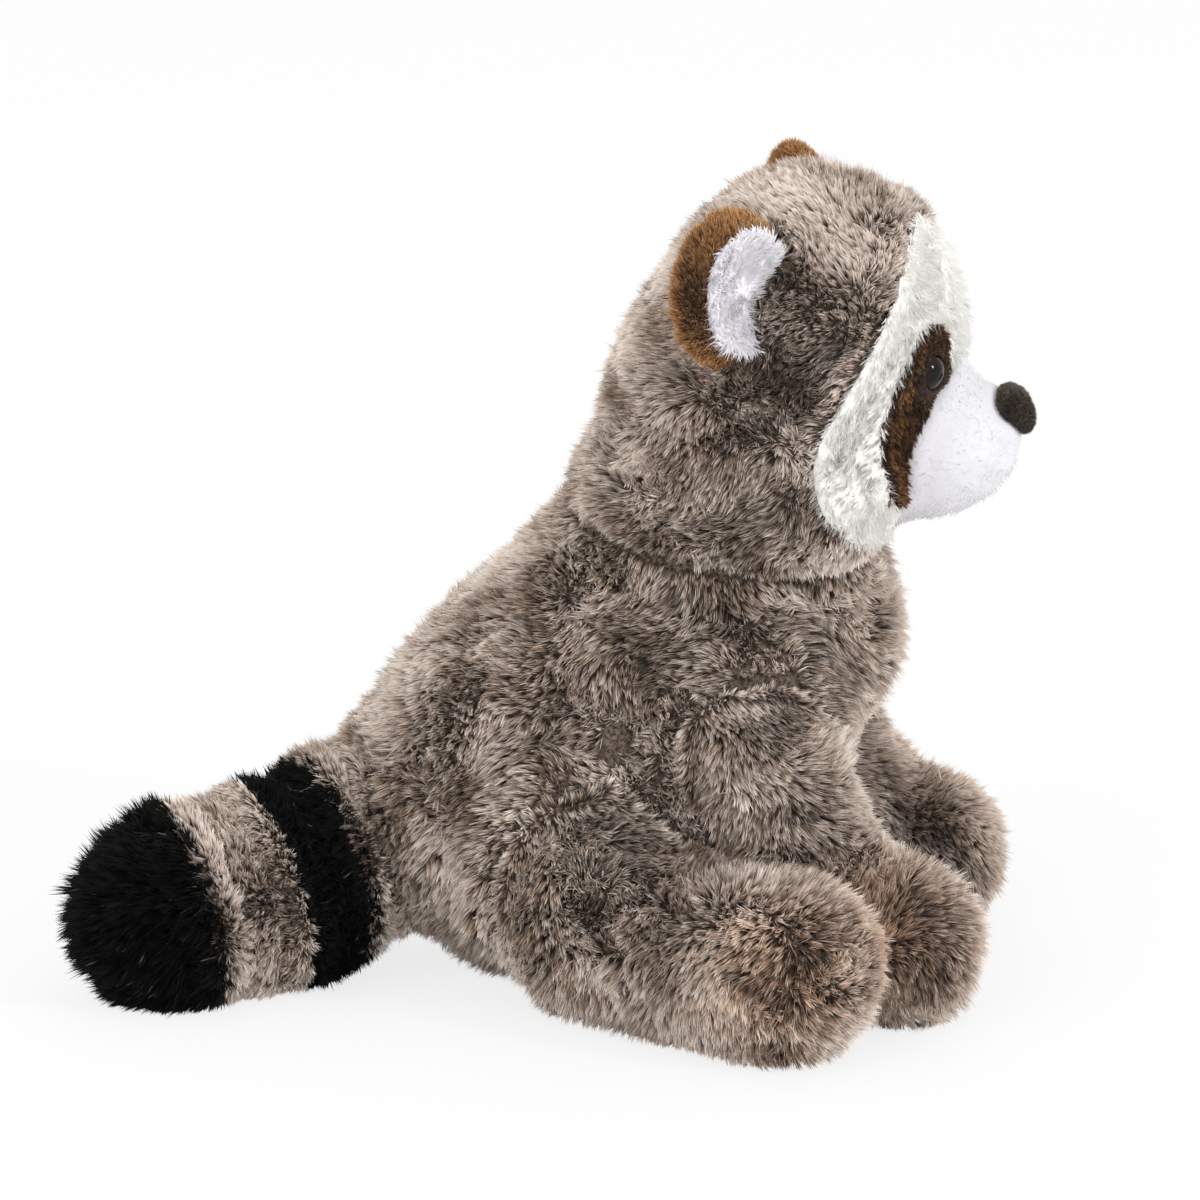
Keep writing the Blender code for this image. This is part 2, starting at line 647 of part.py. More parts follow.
def build_legs(torso_seam):
    """The hind legs, and the front legs, which press against them. Gives the right hind leg's seam."""
    seams = {}
    for name, side in SIDES:
        lobes = hind_leg_lobes(side)
        shin = lobes[1][0]
        hind = stuffed(f"hind_leg_{name}", lobes, LIMB_GRID, GREY_PILE, core=shin)
        boolean(hind, torso_seam, "DIFFERENCE")
        seams[name] = stuffed(f"hind_leg_seam_{name}", lobes, LIMB_GRID, offset=SEAM, core=shin)
        limb = front_leg_lobes(side)
        elbow = (limb[1][0] + limb[2][0]) / 2
        front = stuffed(f"front_leg_{name}", limb, LIMB_GRID, GREY_PILE, core=elbow)
        for tool in (torso_seam, seams[name]):
            boolean(front, tool, "DIFFERENCE")
    return seams["right"]


def tail_point(along):
    """The middle of the tail and its heading, at a length along it from inside the rump."""
    spot = Vector((TAIL_START - SEAT_LENGTH / 2, 0.0, 0.0))
    for i in range(TAIL_STEPS):
        share = (i + 0.5) / TAIL_STEPS * along / TAIL_LENGTH
        turn = math.radians(180 + TAIL_HEADING - TAIL_CURL * share)
        spot += Vector((math.cos(turn), math.sin(turn), 0.0)) * along / TAIL_STEPS
    turn = math.radians(180 + TAIL_HEADING - TAIL_CURL * along / TAIL_LENGTH)
    settled = tail_thickness(along) / 2 - FLOOR_PRESS
    fall = min(1.0, along / (TAIL_ROOT_LENGTH + TAIL_RING_LENGTH))
    ease = fall * fall * (3 - 2 * fall)
    spot.z = TAIL_RISE + (settled - TAIL_RISE) * ease
    return spot, Vector((math.cos(turn), math.sin(turn), 0.0))


def tail_thickness(along):
    """The tail's diameter before its seams and its tip are drawn in, fullest at the middle."""
    share = min(1.0, along / TAIL_LENGTH)
    return TAIL_DIAMETER + TAIL_BULGE * math.sin(math.pi * share) - TAIL_TAPER * share**2


def tail_radius(along):
    """The tail's radius with its round tip."""
    radius = tail_thickness(along) / 2
    past = along - (TAIL_LENGTH - TAIL_TIP_ROUND)
    if past > 0:
        radius *= math.sqrt(max(0.0, 1 - (past / TAIL_TIP_ROUND) ** 2))
    return radius


def tail_band(name, start, end, look, rings, seams):
    """One band of the tail, from start to end along it. It is pulled in at each seam it has."""
    closes = end >= TAIL_LENGTH
    bm = bmesh.new()
    loops = []
    for k in range(rings + 1):
        share = k / rings
        if closes:
            share = math.sin(share * math.pi / 2)
        along = start + (end - start) * share
        if closes and k == rings:
            break
        spot, facing = tail_point(along)
        radius = tail_radius(along)
        for seam in seams:
            radius -= TAIL_PUCKER * math.exp(-abs(along - seam) / TAIL_PUCKER_REACH)
        across = Vector((-facing.y, facing.x, 0.0))
        upward = Matrix.Rotation(math.radians(TAIL_LEAN), 3, across) @ Vector((0.0, 0.0, 1.0))
        loop = []
        for j in range(TAIL_SIDES):
            angle = 2 * math.pi * j / TAIL_SIDES
            place = spot + (across * math.cos(angle) + upward * math.sin(angle)) * radius
            place.z = max(place.z, 0.0)
            loop.append(bm.verts.new(place))
        loops.append(loop)
    for one, two in zip(loops, loops[1:]):
        for j in range(TAIL_SIDES):
            following = (j + 1) % TAIL_SIDES
            bm.faces.new((one[j], one[following], two[following], two[j]))
    for loop, along in ((loops[0], start), (loops[-1], end)):
        middle = bm.verts.new(tail_point(along)[0])
        for j in range(TAIL_SIDES):
            bm.faces.new((loop[j], loop[(j + 1) % TAIL_SIDES], middle))
    return add_object(name, bm, look)


def build_tail(torso_seam, leg_seam):
    """The tail's four bands, each sewn to the next, and the first one to the rump."""
    ring = TAIL_ROOT_LENGTH
    band = ring + TAIL_RING_LENGTH
    tip = band + TAIL_BAND_LENGTH
    half = SEAM / 2
    base = tail_band("tail_base", 0.0, ring - half, GREY_PILE, 5, (ring,))
    black = tail_band("tail_ring_black", ring + half, band - half, BLACK_PILE, 4, (ring, band))
    tail_band("tail_ring_grey", band + half, tip - half, GREY_PILE, 5, (band, tip))
    tail_band("tail_tip", tip + half, TAIL_LENGTH, BLACK_PILE, 7, (tip,))
    for piece in (base, black):
        for tool in (torso_seam, leg_seam):
            boolean(piece, tool, "DIFFERENCE")


def settle():
    """Carries out every cut, marks the cut edges sharp and takes the cutters away."""
    graph = bpy.context.evaluated_depsgraph_get()
    pieces = [thing for thing in bpy.data.objects if not thing.hide_render]
    finished = [bpy.data.meshes.new_from_object(piece.evaluated_get(graph)) for piece in pieces]
    for piece, mesh in zip(pieces, finished):
        piece.modifiers.clear()
        mesh.transform(piece.matrix_world)
        piece.matrix_world = Matrix.Identity(4)
        piece.data = mesh
        mesh.set_sharp_from_angle(angle=math.radians(CREASE_ANGLE))
    for thing in list(bpy.data.objects):
        if thing.hide_render:
            bpy.data.objects.remove(thing, do_unlink=True)


clear_scene()
torso_seam = build_torso()
muzzle, muzzle_seam = build_muzzle(torso_seam)
build_nose(muzzle_seam)
head_seam = build_face(torso_seam, muzzle, muzzle_seam)
build_ears(head_seam)
turn_head()
leg_seam = build_legs(torso_seam)
build_tail(torso_seam, leg_seam)
settle()
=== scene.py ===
import json
import math
import bpy
import numpy as np
from mathutils import Matrix, Vector
from mathutils.bvhtree import BVHTree
from mathutils.kdtree import KDTree

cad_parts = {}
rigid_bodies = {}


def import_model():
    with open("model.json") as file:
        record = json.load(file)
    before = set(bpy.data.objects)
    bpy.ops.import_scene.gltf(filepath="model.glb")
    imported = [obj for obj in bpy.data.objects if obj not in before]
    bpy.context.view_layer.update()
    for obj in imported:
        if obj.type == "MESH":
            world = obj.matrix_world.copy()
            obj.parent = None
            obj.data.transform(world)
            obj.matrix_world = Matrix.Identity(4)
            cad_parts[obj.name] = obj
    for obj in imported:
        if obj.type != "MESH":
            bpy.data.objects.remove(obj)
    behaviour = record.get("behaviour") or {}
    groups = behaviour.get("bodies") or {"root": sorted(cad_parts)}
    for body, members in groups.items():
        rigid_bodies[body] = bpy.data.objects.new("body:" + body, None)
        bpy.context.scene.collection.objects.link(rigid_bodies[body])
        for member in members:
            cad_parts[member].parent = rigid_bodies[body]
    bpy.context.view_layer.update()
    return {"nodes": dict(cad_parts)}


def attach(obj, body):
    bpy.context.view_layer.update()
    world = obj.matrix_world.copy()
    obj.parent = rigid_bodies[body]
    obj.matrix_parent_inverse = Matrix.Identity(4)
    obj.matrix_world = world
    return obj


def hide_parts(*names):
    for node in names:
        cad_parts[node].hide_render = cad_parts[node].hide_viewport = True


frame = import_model()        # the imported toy, one node to each sewn piece
scene = bpy.context.scene
print("frame loaded,", len(frame["nodes"]), "nodes")


# camera

viewSettings = {
    "turn": 8.0,  # degrees from straight beside the toy, towards its face
    "rise": 16.0,  # degrees above level
    "distance": 1.6,
    "lookAt": (0.0, 0.0, 0.105),
    "sensor": 36.0,
    "spread": 0.336,  # metres across the frame at the toy
}


def makeCamera(s):
    turn, rise = math.radians(s["turn"]), math.radians(s["rise"])
    ahead = Vector((-math.sin(turn) * math.cos(rise), math.cos(turn) * math.cos(rise), -math.sin(rise)))
    place = Vector(s["lookAt"]) - ahead * s["distance"]
    bpy.ops.object.camera_add(location=place, rotation=ahead.to_track_quat("-Z", "Y").to_euler())
    camera = bpy.context.object
    camera.data.sensor_width = s["sensor"]
    camera.data.lens = s["sensor"] * s["distance"] / s["spread"]
    scene.camera = camera


makeCamera(viewSettings)


# shader maths

class Wire:
    # a node socket that can be added, multiplied and so on
    def __init__(self, tree, socket):
        self.tree, self.socket = tree, socket

    def node(self, kind, settings=None, values=None, output=0):
        made = self.tree.nodes.new(kind)
        for name, value in (settings or {}).items():
            if name == "stops":
                for place, (at, colour) in enumerate(value):
                    stop = made.color_ramp.elements[place] if place < 2 else made.color_ramp.elements.new(at)
                    stop.position, stop.color = at, (*colour, 1.0)
            else:
                setattr(made, name, value)
        for name, value in (values or {}).items():
            if isinstance(value, Wire):
                self.tree.links.new(value.socket, made.inputs[name])
            else:
                made.inputs[name].default_value = value
        return Wire(self.tree, made.outputs[output])

    def maths(self, operation, first, second=0.0):
        return self.node("ShaderNodeMath", {"operation": operation}, {0: first, 1: second})

    def __add__(self, other):
        return self.maths("ADD", self, other)

    def __rsub__(self, other):
        return self.maths("SUBTRACT", other, self)

    def __mul__(self, other):
        return self.maths("MULTIPLY", self, other)

    __radd__, __rmul__ = __add__, __mul__


def newMaterial(name, constants):
    made = bpy.data.materials.new(name)
    made.use_nodes = True
    shader = made.node_tree.nodes["Principled BSDF"]
    for socket, value in constants.items():
        shader.inputs[socket].default_value = value
    return made, Wire(made.node_tree, None), shader


def plug(wire, shader, socket):
    wire.tree.links.new(wire.socket, shader.inputs[socket])


def mixed(start, share, one, two, way="MIX"):
    # two colours, mixed by a share
    return start.node("ShaderNodeMix", {"data_type": "RGBA", "blend_type": way},
                      {0: share, 6: one, 7: two}, output=2)


def objectPlace(start):
    return start.node("ShaderNodeTexCoord", output=3)


pileLook = {
    "sheenRoughness": 0.5,
    "specular": 0.25,
    "warmth": (1.0, 0.84, 0.70),  # tint of the strands between dark and plain
    "whiteWarmth": (1.0, 1.0, 1.0),  # the same in the white piles
    "warmShare": 0.55,
    "warmAt": 0.32,
    "plainAt": 0.55,
    "paleAt": 0.9,
    "strayAt": 0.955,  # a tone above this is a pale stray
    "clothBelow": 0.06,  # the map's v is less than this on the cloth
    "speck": {"Scale": 900.0, "Detail": 3.0, "Roughness": 0.7},
    "speckFrom": 0.38,
    "speckTo": 0.62,
    "bump": {"Strength": 0.35, "Distance": 0.0003},
    "roughnessSpread": 0.1,
}


def pileMaterial(name, stops, dark, pale, undercoat, roughness=0.8, sheen=0.15, strays=None, whites=False,
                 browner=None):
    # the map's v runs from root to tip, and its u from the darkest strands to the palest
    s = pileLook
    made, start, shader = newMaterial(name, {
        "Roughness": roughness, "Sheen Weight": sheen, "Sheen Roughness": s["sheenRoughness"],
        "Specular IOR Level": s["specular"]})
    mapped = start.node("ShaderNodeUVMap", {"uv_map": "OFBake"})
    tone = start.node("ShaderNodeSeparateXYZ", None, {0: mapped}, output=0)
    along = start.node("ShaderNodeSeparateXYZ", None, {0: mapped}, output=1)
    colour = start.node("ShaderNodeValToRGB", {"stops": stops}, {0: along})
    tint = s["whiteWarmth"] if whites else s["warmth"]
    warm = tuple((1 - s["warmShare"]) * low + s["warmShare"] * full for low, full in zip(dark, tint))
    shade = start.node("ShaderNodeValToRGB", {"stops": (
        (0.0, dark), (s["warmAt"], warm), (s["plainAt"], (1, 1, 1)), (s["paleAt"], pale))}, {0: tone})
    colour = mixed(start, 1.0, colour, shade, "MULTIPLY")
    if strays:
        apart = start.maths("GREATER_THAN", tone, s["strayAt"])
        colour = mixed(start, apart, colour, (*strays, 1.0))
    # between the strands the cloth shows as more, deeper pile
    place = objectPlace(start)
    speck = start.node("ShaderNodeTexNoise", None, {"Vector": place, **s["speck"]})
    under = start.node("ShaderNodeValToRGB", {"stops": (
        (s["speckFrom"], undercoat[0]), (s["speckTo"], undercoat[1]))}, {0: speck})
    colour = mixed(start, start.maths("LESS_THAN", along, s["clothBelow"]), colour, under)
    for spot in (browner or {}).get("spots", ()):
        away = start.node("ShaderNodeVectorMath", {"operation": "DISTANCE"}, {0: place, 1: spot}, output=1)
        share = start.node("ShaderNodeMapRange", {"interpolation_type": "SMOOTHSTEP"},
                           {0: away, 1: browner["reach"], 2: 0.0, 3: 0.0, 4: browner["share"]})
        colour = mixed(start, share, colour, (*browner["colour"], 1.0), "MULTIPLY")
    plug(colour, shader, "Base Color")
    plug(roughness + (0.5 - tone) * s["roughnessSpread"], shader, "Roughness")
    plug(start.node("ShaderNodeBump", None, {**s["bump"], "Height": speck}), shader, "Normal")
    return made


# arrays and searches

def numbers(items, name, width, kind=np.float32):
    found = np.empty(len(items) * width, kind)
    items.foreach_get(name, found)
    return found.reshape(-1, width) if width > 1 else found


def corners(name):
    return numbers(frame["nodes"][name].data.vertices, "co", 3)


def unit(vectors):
    return vectors / np.maximum(np.linalg.norm(vectors, axis=-1, keepdims=True), 1e-9)


def waves(seed, size, count=20):
    # smooth noise in space, with swells about as long as size
    dice = np.random.default_rng(seed)
    heading = dice.normal(size=(count, 3))
    heading *= 2 * math.pi / size * dice.uniform(0.6, 1.5, (count, 1)) / np.linalg.norm(heading, axis=1)[:, None]
    phase = dice.uniform(0, 2 * math.pi, count)
    push = dice.normal(size=(count, 3)) * math.sqrt(2 / count)
    return lambda points: np.sin(points @ heading.T + phase) @ push


def solidTree(names):
    # the CAD solids of these nodes, as one search tree
    points, faces = [], []
    for name in names:
        mesh = frame["nodes"][name].data
        start = len(points)
        points += [tuple(v.co) for v in mesh.vertices]
        faces += [tuple(start + i for i in face.vertices) for face in mesh.polygons]
    return BVHTree.FromPolygons(points, faces)


spacing = {
    "look": 0.012,  # a neighbour further off than this doesn't count
    "seam": 0.0008,  # gap at which the pile starts to sink in
    "fade": 0.006,  # and over which it reaches its full depth
    "sole": 0.001,
    "soleShare": 0.25,  # share of the depth that is left on the ground
    "clothFloor": 0.0006,
    "strandFloor": 0.0003,
}


def clearances(tree, points):
    # how far each point is outside the solids of the tree, below nothing where it is inside one,
    # and the way that the nearest face looks
    furthest = spacing["look"]
    gaps, facings = np.full(len(points), furthest), np.zeros((len(points), 3))
    for place, point in enumerate(points.tolist()):
        spot, facing, face, gap = tree.find_nearest(point, furthest)
        if spot is not None:
            gaps[place] = gap if (Vector(point) - spot).dot(facing) > 0 else -gap
            facings[place] = facing
    return gaps, facings


def openness(tree, points):
    # nothing at a seam, and 1 where no other piece is near
    return np.clip((clearances(tree, points)[0] - spacing["seam"]) / spacing["fade"], 0, 1)


# cloth

def makeSkin(s):
    # a copy of the solid with even faces and softened edges, made by remeshing it
    bpy.ops.object.select_all(action="DESELECT")
    skin = bpy.data.objects.new(s["node"] + "Skin", frame["nodes"][s["node"]].data.copy())
    scene.collection.objects.link(skin)
    bpy.context.view_layer.objects.active = skin
    skin.select_set(True)
    bpy.ops.object.mode_set(mode="EDIT")
    bpy.ops.mesh.select_all(action="SELECT")
    bpy.ops.mesh.remove_doubles(threshold=1e-6)
    bpy.ops.object.mode_set(mode="OBJECT")
    remesh = skin.modifiers.new("remesh", "REMESH")
    remesh.mode, remesh.voxel_size, remesh.use_smooth_shade = "VOXEL", s["voxel"], True
    smooth = skin.modifiers.new("smooth", "SMOOTH")
    smooth.factor, smooth.iterations = 0.5, s["smoothing"]
    for step in ("remesh", "smooth"):
        bpy.ops.object.modifier_apply(modifier=step)
    return skin


def setPoints(mesh, points):
    # the cloth never goes below the ground
    points[:, 2] = np.maximum(points[:, 2], spacing["clothFloor"])
    mesh.vertices.foreach_set("co", points.astype(np.float32).ravel())
    mesh.update()


stuffing = {
    "pressure": 4.0,
    "frames": 20,
    "quality": 5,
    "mass": 0.0005,
    "stretch": 1.5,
    "bend": 0.02,
    "give": 0.9,  # how little the middle of a piece is held
    "furthest": 0.0012,  # how far the cloth may move
}


def swell(skin, points, held, s):
    # cloth pressed out by its stuffing, and held along its seams
    group = skin.vertex_groups.new(name="held")
    for place, share in enumerate(held.tolist()):
        group.add([place], share, "REPLACE")
    cloth = skin.modifiers.new("stuffing", "CLOTH")
    cloth.settings.quality = s["quality"]
    cloth.settings.mass = s["mass"]
    cloth.settings.tension_stiffness = cloth.settings.compression_stiffness = s["stretch"]
    cloth.settings.shear_stiffness, cloth.settings.bending_stiffness = s["stretch"] / 2, s["bend"]
    cloth.settings.use_pressure = True
    cloth.settings.uniform_pressure_force = s["pressure"]
    cloth.settings.effector_weights.gravity = 0.0
    cloth.settings.vertex_group_mass = "held"
    cloth.point_cache.frame_end = s["frames"]
    for step in range(1, s["frames"] + 1):
        scene.frame_set(step)
    swollen = skin.evaluated_get(bpy.context.evaluated_depsgraph_get()).data
    moved = numbers(swollen.vertices, "co", 3).astype(float) - points
    scene.frame_set(1)
    skin.modifiers.remove(cloth)
    reach = np.linalg.norm(moved, axis=1, keepdims=True)
    print("  stuffing moved the cloth", round(float(reach.mean()) * 1000, 2), "mm, at most",
          round(float(reach.max()) * 1000, 2))
    return points + moved * np.minimum(1, s["furthest"] / np.maximum(reach, 1e-9))


def makeCloth(s, others):
    # the piece's cloth: inside its solid by the depth of its pile, but close to its neighbours at the seams
    skin = makeSkin(s)
    mesh = skin.data
    points = numbers(mesh.vertices, "co", 3).astype(float)
    normals = numbers(mesh.vertices, "normal", 3).astype(float)
    free = openness(others, points)
    free = free * free * (3 - 2 * free)
    free *= np.clip((points[:, 2] - spacing["sole"]) / spacing["fade"], spacing["soleShare"], 1)
    points -= normals * (free * s["depth"])[:, None]
    setPoints(mesh, points)
    if s["stuffed"]:
        setPoints(mesh, swell(skin, points, 1 - stuffing["give"] * free, stuffing))
        finer = skin.modifiers.new("finer", "SUBSURF")
        finer.levels = finer.render_levels = 1
        bpy.ops.object.modifier_apply(modifier="finer")
    return skin


# pile

rooting = {
    "spare": 1.15,  # roots tried for each strand
    "coverHeight": 0.003,
    "coverDepth": 0.001,
    "coverFacing": -0.95,  # the neighbour's face looks the other way, so it lies on this one
    "testShare": 0.35,  # share of the strand's length at which it is tested
    "testGap": 0.0002,
    "creaseReach": 0.005,
    "creaseTurn": 0.9,
    "sunk": 0.0004,
    "soleHeight": 0.0009,
}
unevenness = {
    "swirlFine": 0.5,  # share of the swirl that comes again three times finer
    "lean": 0.3, "leanByPatch": 0.25, "leanFrom": 0.3, "leanTo": 1.7,
    "length": 0.13, "lengthFrom": 0.6, "lengthTo": 1.35,
    "tone": 0.11, "midTone": 0.5,
    "heading": 0.22,
    "strandLean": 7.0,  # degrees
    "shortest": 0.6, "longest": 1.1,
    "thinnest": 0.7, "thickest": 1.3,
}
strandShape = {
    "lowerLean": 0.8, "upperLean": 1.15, "flattest": 1.62,  # radians
    "seamLength": 0.72,  # share of the length that is left at a seam
    "soleLength": 0.35, "soleReach": 0.006,
    "eyeFrom": 0.0062, "eyeReach": 0.007, "eyeLength": 0.25,
    "keepPlace": 0.25, "kneePull": 0.25,
}
toneRange = {
    "low": 0.03, "high": 0.93, "stray": 0.98,
    "side": 1.5, "paintedSideShadeFalloff": 1.5,  # painted shade and light: the left and right sides of the toy are painted darker than its rim, and the rim is painted paler
    "strip": 0.006,  # half the width of a strand on the map
    "rootAt": 0.01, "tipAt": 0.99, "clothTop": 0.05,
    "clothLow": 0.05, "clothHigh": 0.9,
}


def makeRoots(s, dice, others, points, normals, tris):
    # roots, spread evenly over the cloth that no other piece covers
    r = rooting
    spots = points[tris]
    area = np.linalg.norm(np.cross(spots[:, 1] - spots[:, 0], spots[:, 2] - spots[:, 0]), axis=1) / 2
    middles, outward = spots.mean(axis=1), unit(normals[tris].mean(axis=1))
    gaps, facings = clearances(others, middles + outward * r["coverHeight"])
    hidden = (gaps < -r["coverDepth"]) & ((outward * facings).sum(axis=1) < r["coverFacing"])
    weight = area * ~hidden * (spots[:, :, 2].max(axis=1) > r["soleHeight"])
    tries = int(s["strands"] * r["spare"])
    face = dice.choice(len(tris), tries, p=weight / weight.sum())
    share = dice.dirichlet((1, 1, 1), tries)[:, :, None]
    root = (spots[face] * share).sum(axis=1)
    up = unit((normals[tris[face]] * share).sum(axis=1))
    gaps, facings = clearances(others, root + up * s["length"] * r["testShare"])
    outside = (gaps > r["testGap"]) | ((up * facings).sum(axis=1) > r["coverFacing"])
    kept = np.flatnonzero(outside)[:s["strands"]]
    face, share, root, up, gaps, facings = (a[kept] for a in (face, share, root, up, gaps, facings))
    # in a crease the pile stands out between the two pieces
    up = unit(up + facings * (r["creaseTurn"] * np.clip(1 - gaps / r["creaseReach"], 0, 1))[:, None])
    clear = (openness(others, points)[tris[face]] * share[:, :, 0]).sum(axis=1)
    return root, up, clear


def makeTufts(s, dice, root):
    # each tuft's own heading, lean, length and tone, and the tuft that each strand is in
    u = unevenness
    tufts = max(8, int(len(root) / s["tuftSize"]))
    middle = dice.choice(len(root), tufts, replace=False)
    tree = KDTree(tufts)
    for place, point in enumerate(root[middle].tolist()):
        tree.insert(point, place)
    tree.balance()
    tuft = np.array([tree.find(point)[1] for point in root.tolist()])
    flow = s["comb"](root[middle])
    flow = unit(flow) + s["swirl"] * waves(s["seed"] + 50, s["swirlSize"])(root[middle])
    flow += u["swirlFine"] * s["swirl"] * waves(s["seed"] + 51, s["swirlSize"] / 3)(root[middle])
    flow += dice.normal(size=flow.shape) * s["stray"]
    patch = waves(s["seed"] + 52, s["patchSize"])(root[middle])[:, 0]
    lean = np.radians(s["lean"]) * np.clip(
        1 + u["lean"] * dice.normal(size=tufts) + u["leanByPatch"] * patch, u["leanFrom"], u["leanTo"])
    length = s["length"] * np.clip(1 + u["length"] * dice.normal(size=tufts), u["lengthFrom"], u["lengthTo"])
    tone = u["midTone"] + u["tone"] * dice.normal(size=tufts) + s["patches"] * patch
    return middle, tuft, flow, lean, length, tone


def makeStrands(s, dice, root, up, clear, middle, tuft, flow, tuftLean, tuftLength):
    # three points to a strand: its root, its knee, set aside by its width, and its tip
    u, b = unevenness, strandShape
    strands = len(root)
    along = flow[tuft] + dice.normal(size=(strands, 3)) * u["heading"]
    along = unit(along - (along * up).sum(axis=1, keepdims=True) * up)
    across = np.cross(along, up)
    lean = tuftLean[tuft] + np.radians(u["strandLean"]) * dice.normal(size=strands)
    length = tuftLength[tuft] * dice.uniform(u["shortest"], u["longest"], strands)
    length *= b["seamLength"] + (1 - b["seamLength"]) * clear
    length *= np.clip(b["soleLength"] + root[:, 2] / b["soleReach"], b["soleLength"], 1)
    if "eye" in s:
        away = np.linalg.norm(root - np.array(s["eye"]), axis=1)
        length *= np.clip((away - b["eyeFrom"]) / b["eyeReach"], b["eyeLength"], 1)

    def headed(angle):
        return np.cos(angle)[:, None] * up + np.sin(angle)[:, None] * along

    knee = root + headed(lean * b["lowerLean"]) * (length * s["kneeAt"])[:, None]
    upper = headed(np.minimum(lean * b["upperLean"], b["flattest"]))
    tip = knee + upper * (length * (1 - s["kneeAt"]))[:, None]
    # the tips of a tuft are drawn together
    pull = s["gather"] * dice.uniform(u["shortest"], u["longest"], strands)[:, None]
    aim = tip[middle][tuft] + (root - root[middle][tuft]) * b["keepPlace"]
    tip += (aim - tip) * pull
    knee += (aim - tip) * pull * b["kneePull"]
    heading = unit(tip - root)
    twist = np.radians(s["twist"]) * dice.normal(size=strands)
    side = np.cos(twist)[:, None] * across + np.sin(twist)[:, None] * np.cross(heading, across)
    bend = side * (s["width"] * dice.uniform(u["thinnest"], u["thickest"], strands))[:, None]
    spots = np.stack([root - up * rooting["sunk"], knee + bend, tip], axis=1)
    spots[:, :, 2] = np.maximum(spots[:, :, 2], spacing["strandFloor"])
    return spots


def makeTones(s, dice, up, tone):
    t = toneRange
    tone = np.clip(tone + s["speckle"] * dice.normal(size=len(up))
                   # painted light on the rims and painted shade on the left and right sides
                   + s["paintedRimLight"] * (1 - t["side"] * np.abs(up[:, 1]) ** t["paintedSideShadeFalloff"])
                   # painted light: paler tones where the pile faces the toy's front, to lift the shaded chest
                   # and paws
                   + s["paintedFrontLight"] * np.clip(up[:, 0], 0, 1), t["low"], t["high"])
    if s.get("strays"):
        stray = dice.uniform(size=len(up)) < s["strays"]
        tone = np.where(stray, t["stray"], np.minimum(tone, t["high"]))
    return tone


def makeMap(s, tone, middles):
    # a narrow strip of the map for each strand, and a small triangle for each face of the cloth
    t = toneRange
    strands = len(tone)
    strandMap = np.stack([np.stack([tone - t["strip"], np.full(strands, t["rootAt"])], 1),
                          np.stack([tone + t["strip"], np.full(strands, s["kneeAt"])], 1),
                          np.stack([tone - t["strip"], np.full(strands, t["tipAt"])], 1)], axis=1)
    patch = waves(s["seed"] + 52, s["patchSize"])(middles)[:, 0]
    clothTone = np.clip(unevenness["midTone"] + s["patches"] * patch, t["clothLow"], t["clothHigh"])
    corner = np.array([(-t["strip"], t["rootAt"]), (t["strip"], t["rootAt"]), (0.0, t["clothTop"])])
    clothMap = np.stack([clothTone, np.zeros(len(middles))], 1)[:, None, :] + corner[None]
    return np.concatenate([clothMap.reshape(-1, 2), strandMap.reshape(-1, 2)])


def makePile(s):
    # one plush piece: its cloth and the tapered strands on it, which reach the surface of its solid
    dice = np.random.default_rng(s["seed"])
    others = solidTree([name for name in frame["nodes"] if name != s["node"]])
    skin = makeCloth(s, others)
    skin.data.calc_loop_triangles()
    points = numbers(skin.data.vertices, "co", 3).astype(float)
    normals = numbers(skin.data.vertices, "normal", 3).astype(float)
    tris = numbers(skin.data.loop_triangles, "vertices", 3, np.int32)
    bpy.data.objects.remove(skin)

    root, up, clear = makeRoots(s, dice, others, points, normals, tris)
    middle, tuft, flow, lean, length, tone = makeTufts(s, dice, root)
    spots = makeStrands(s, dice, root, up, clear, middle, tuft, flow, lean, length)
    tone = makeTones(s, dice, up, tone[tuft])
    mapped = makeMap(s, tone, points[tris].mean(axis=1))

    # cloth first, then three points and one face to a strand
    strands = len(root)
    faces = np.concatenate([tris, len(points) + np.arange(strands * 3).reshape(-1, 3)])
    allPoints = np.concatenate([points, spots.reshape(-1, 3)])
    made = bpy.data.meshes.new(s["name"])
    made.vertices.add(len(allPoints))
    made.vertices.foreach_set("co", allPoints.astype(np.float32).ravel())
    made.loops.add(len(faces) * 3)
    made.loops.foreach_set("vertex_index", faces.astype(np.int32).ravel())
    made.polygons.add(len(faces))
    made.polygons.foreach_set("loop_start", np.arange(len(faces), dtype=np.int32) * 3)
    made.update(calc_edges=True)
    made.uv_layers.new(name="OFBake")
    made.uv_layers["OFBake"].uv.foreach_set("vector", mapped.astype(np.float32).ravel())
    made.shade_smooth()
    made.materials.append(s["material"])
    piece = bpy.data.objects.new(s["name"], made)
    scene.collection.objects.link(piece)
    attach(piece, "root")
    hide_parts(s["node"])
    print(s["name"], strands, "strands,", len(faces), "triangles")


# finishes

sides = (("right", -1), ("left", 1))
pawSettings = {
    "back": 0.027,  # from the paw's front to the middle of the brown
    "inset": 0.004,
    "height": 0.030,
    "reach": 0.034,
    "share": 0.75,
    "colour": (1.0, 0.83, 0.67),
}


def pawSpot(node, sign, s):
    # the middle of the outer side of a paw, where the pile is browner
    points = corners(node)
    front, out = points[:, 0].max(), (points[:, 1] * sign).max()
    return front - s["back"], (out - s["inset"]) * sign, s["height"]


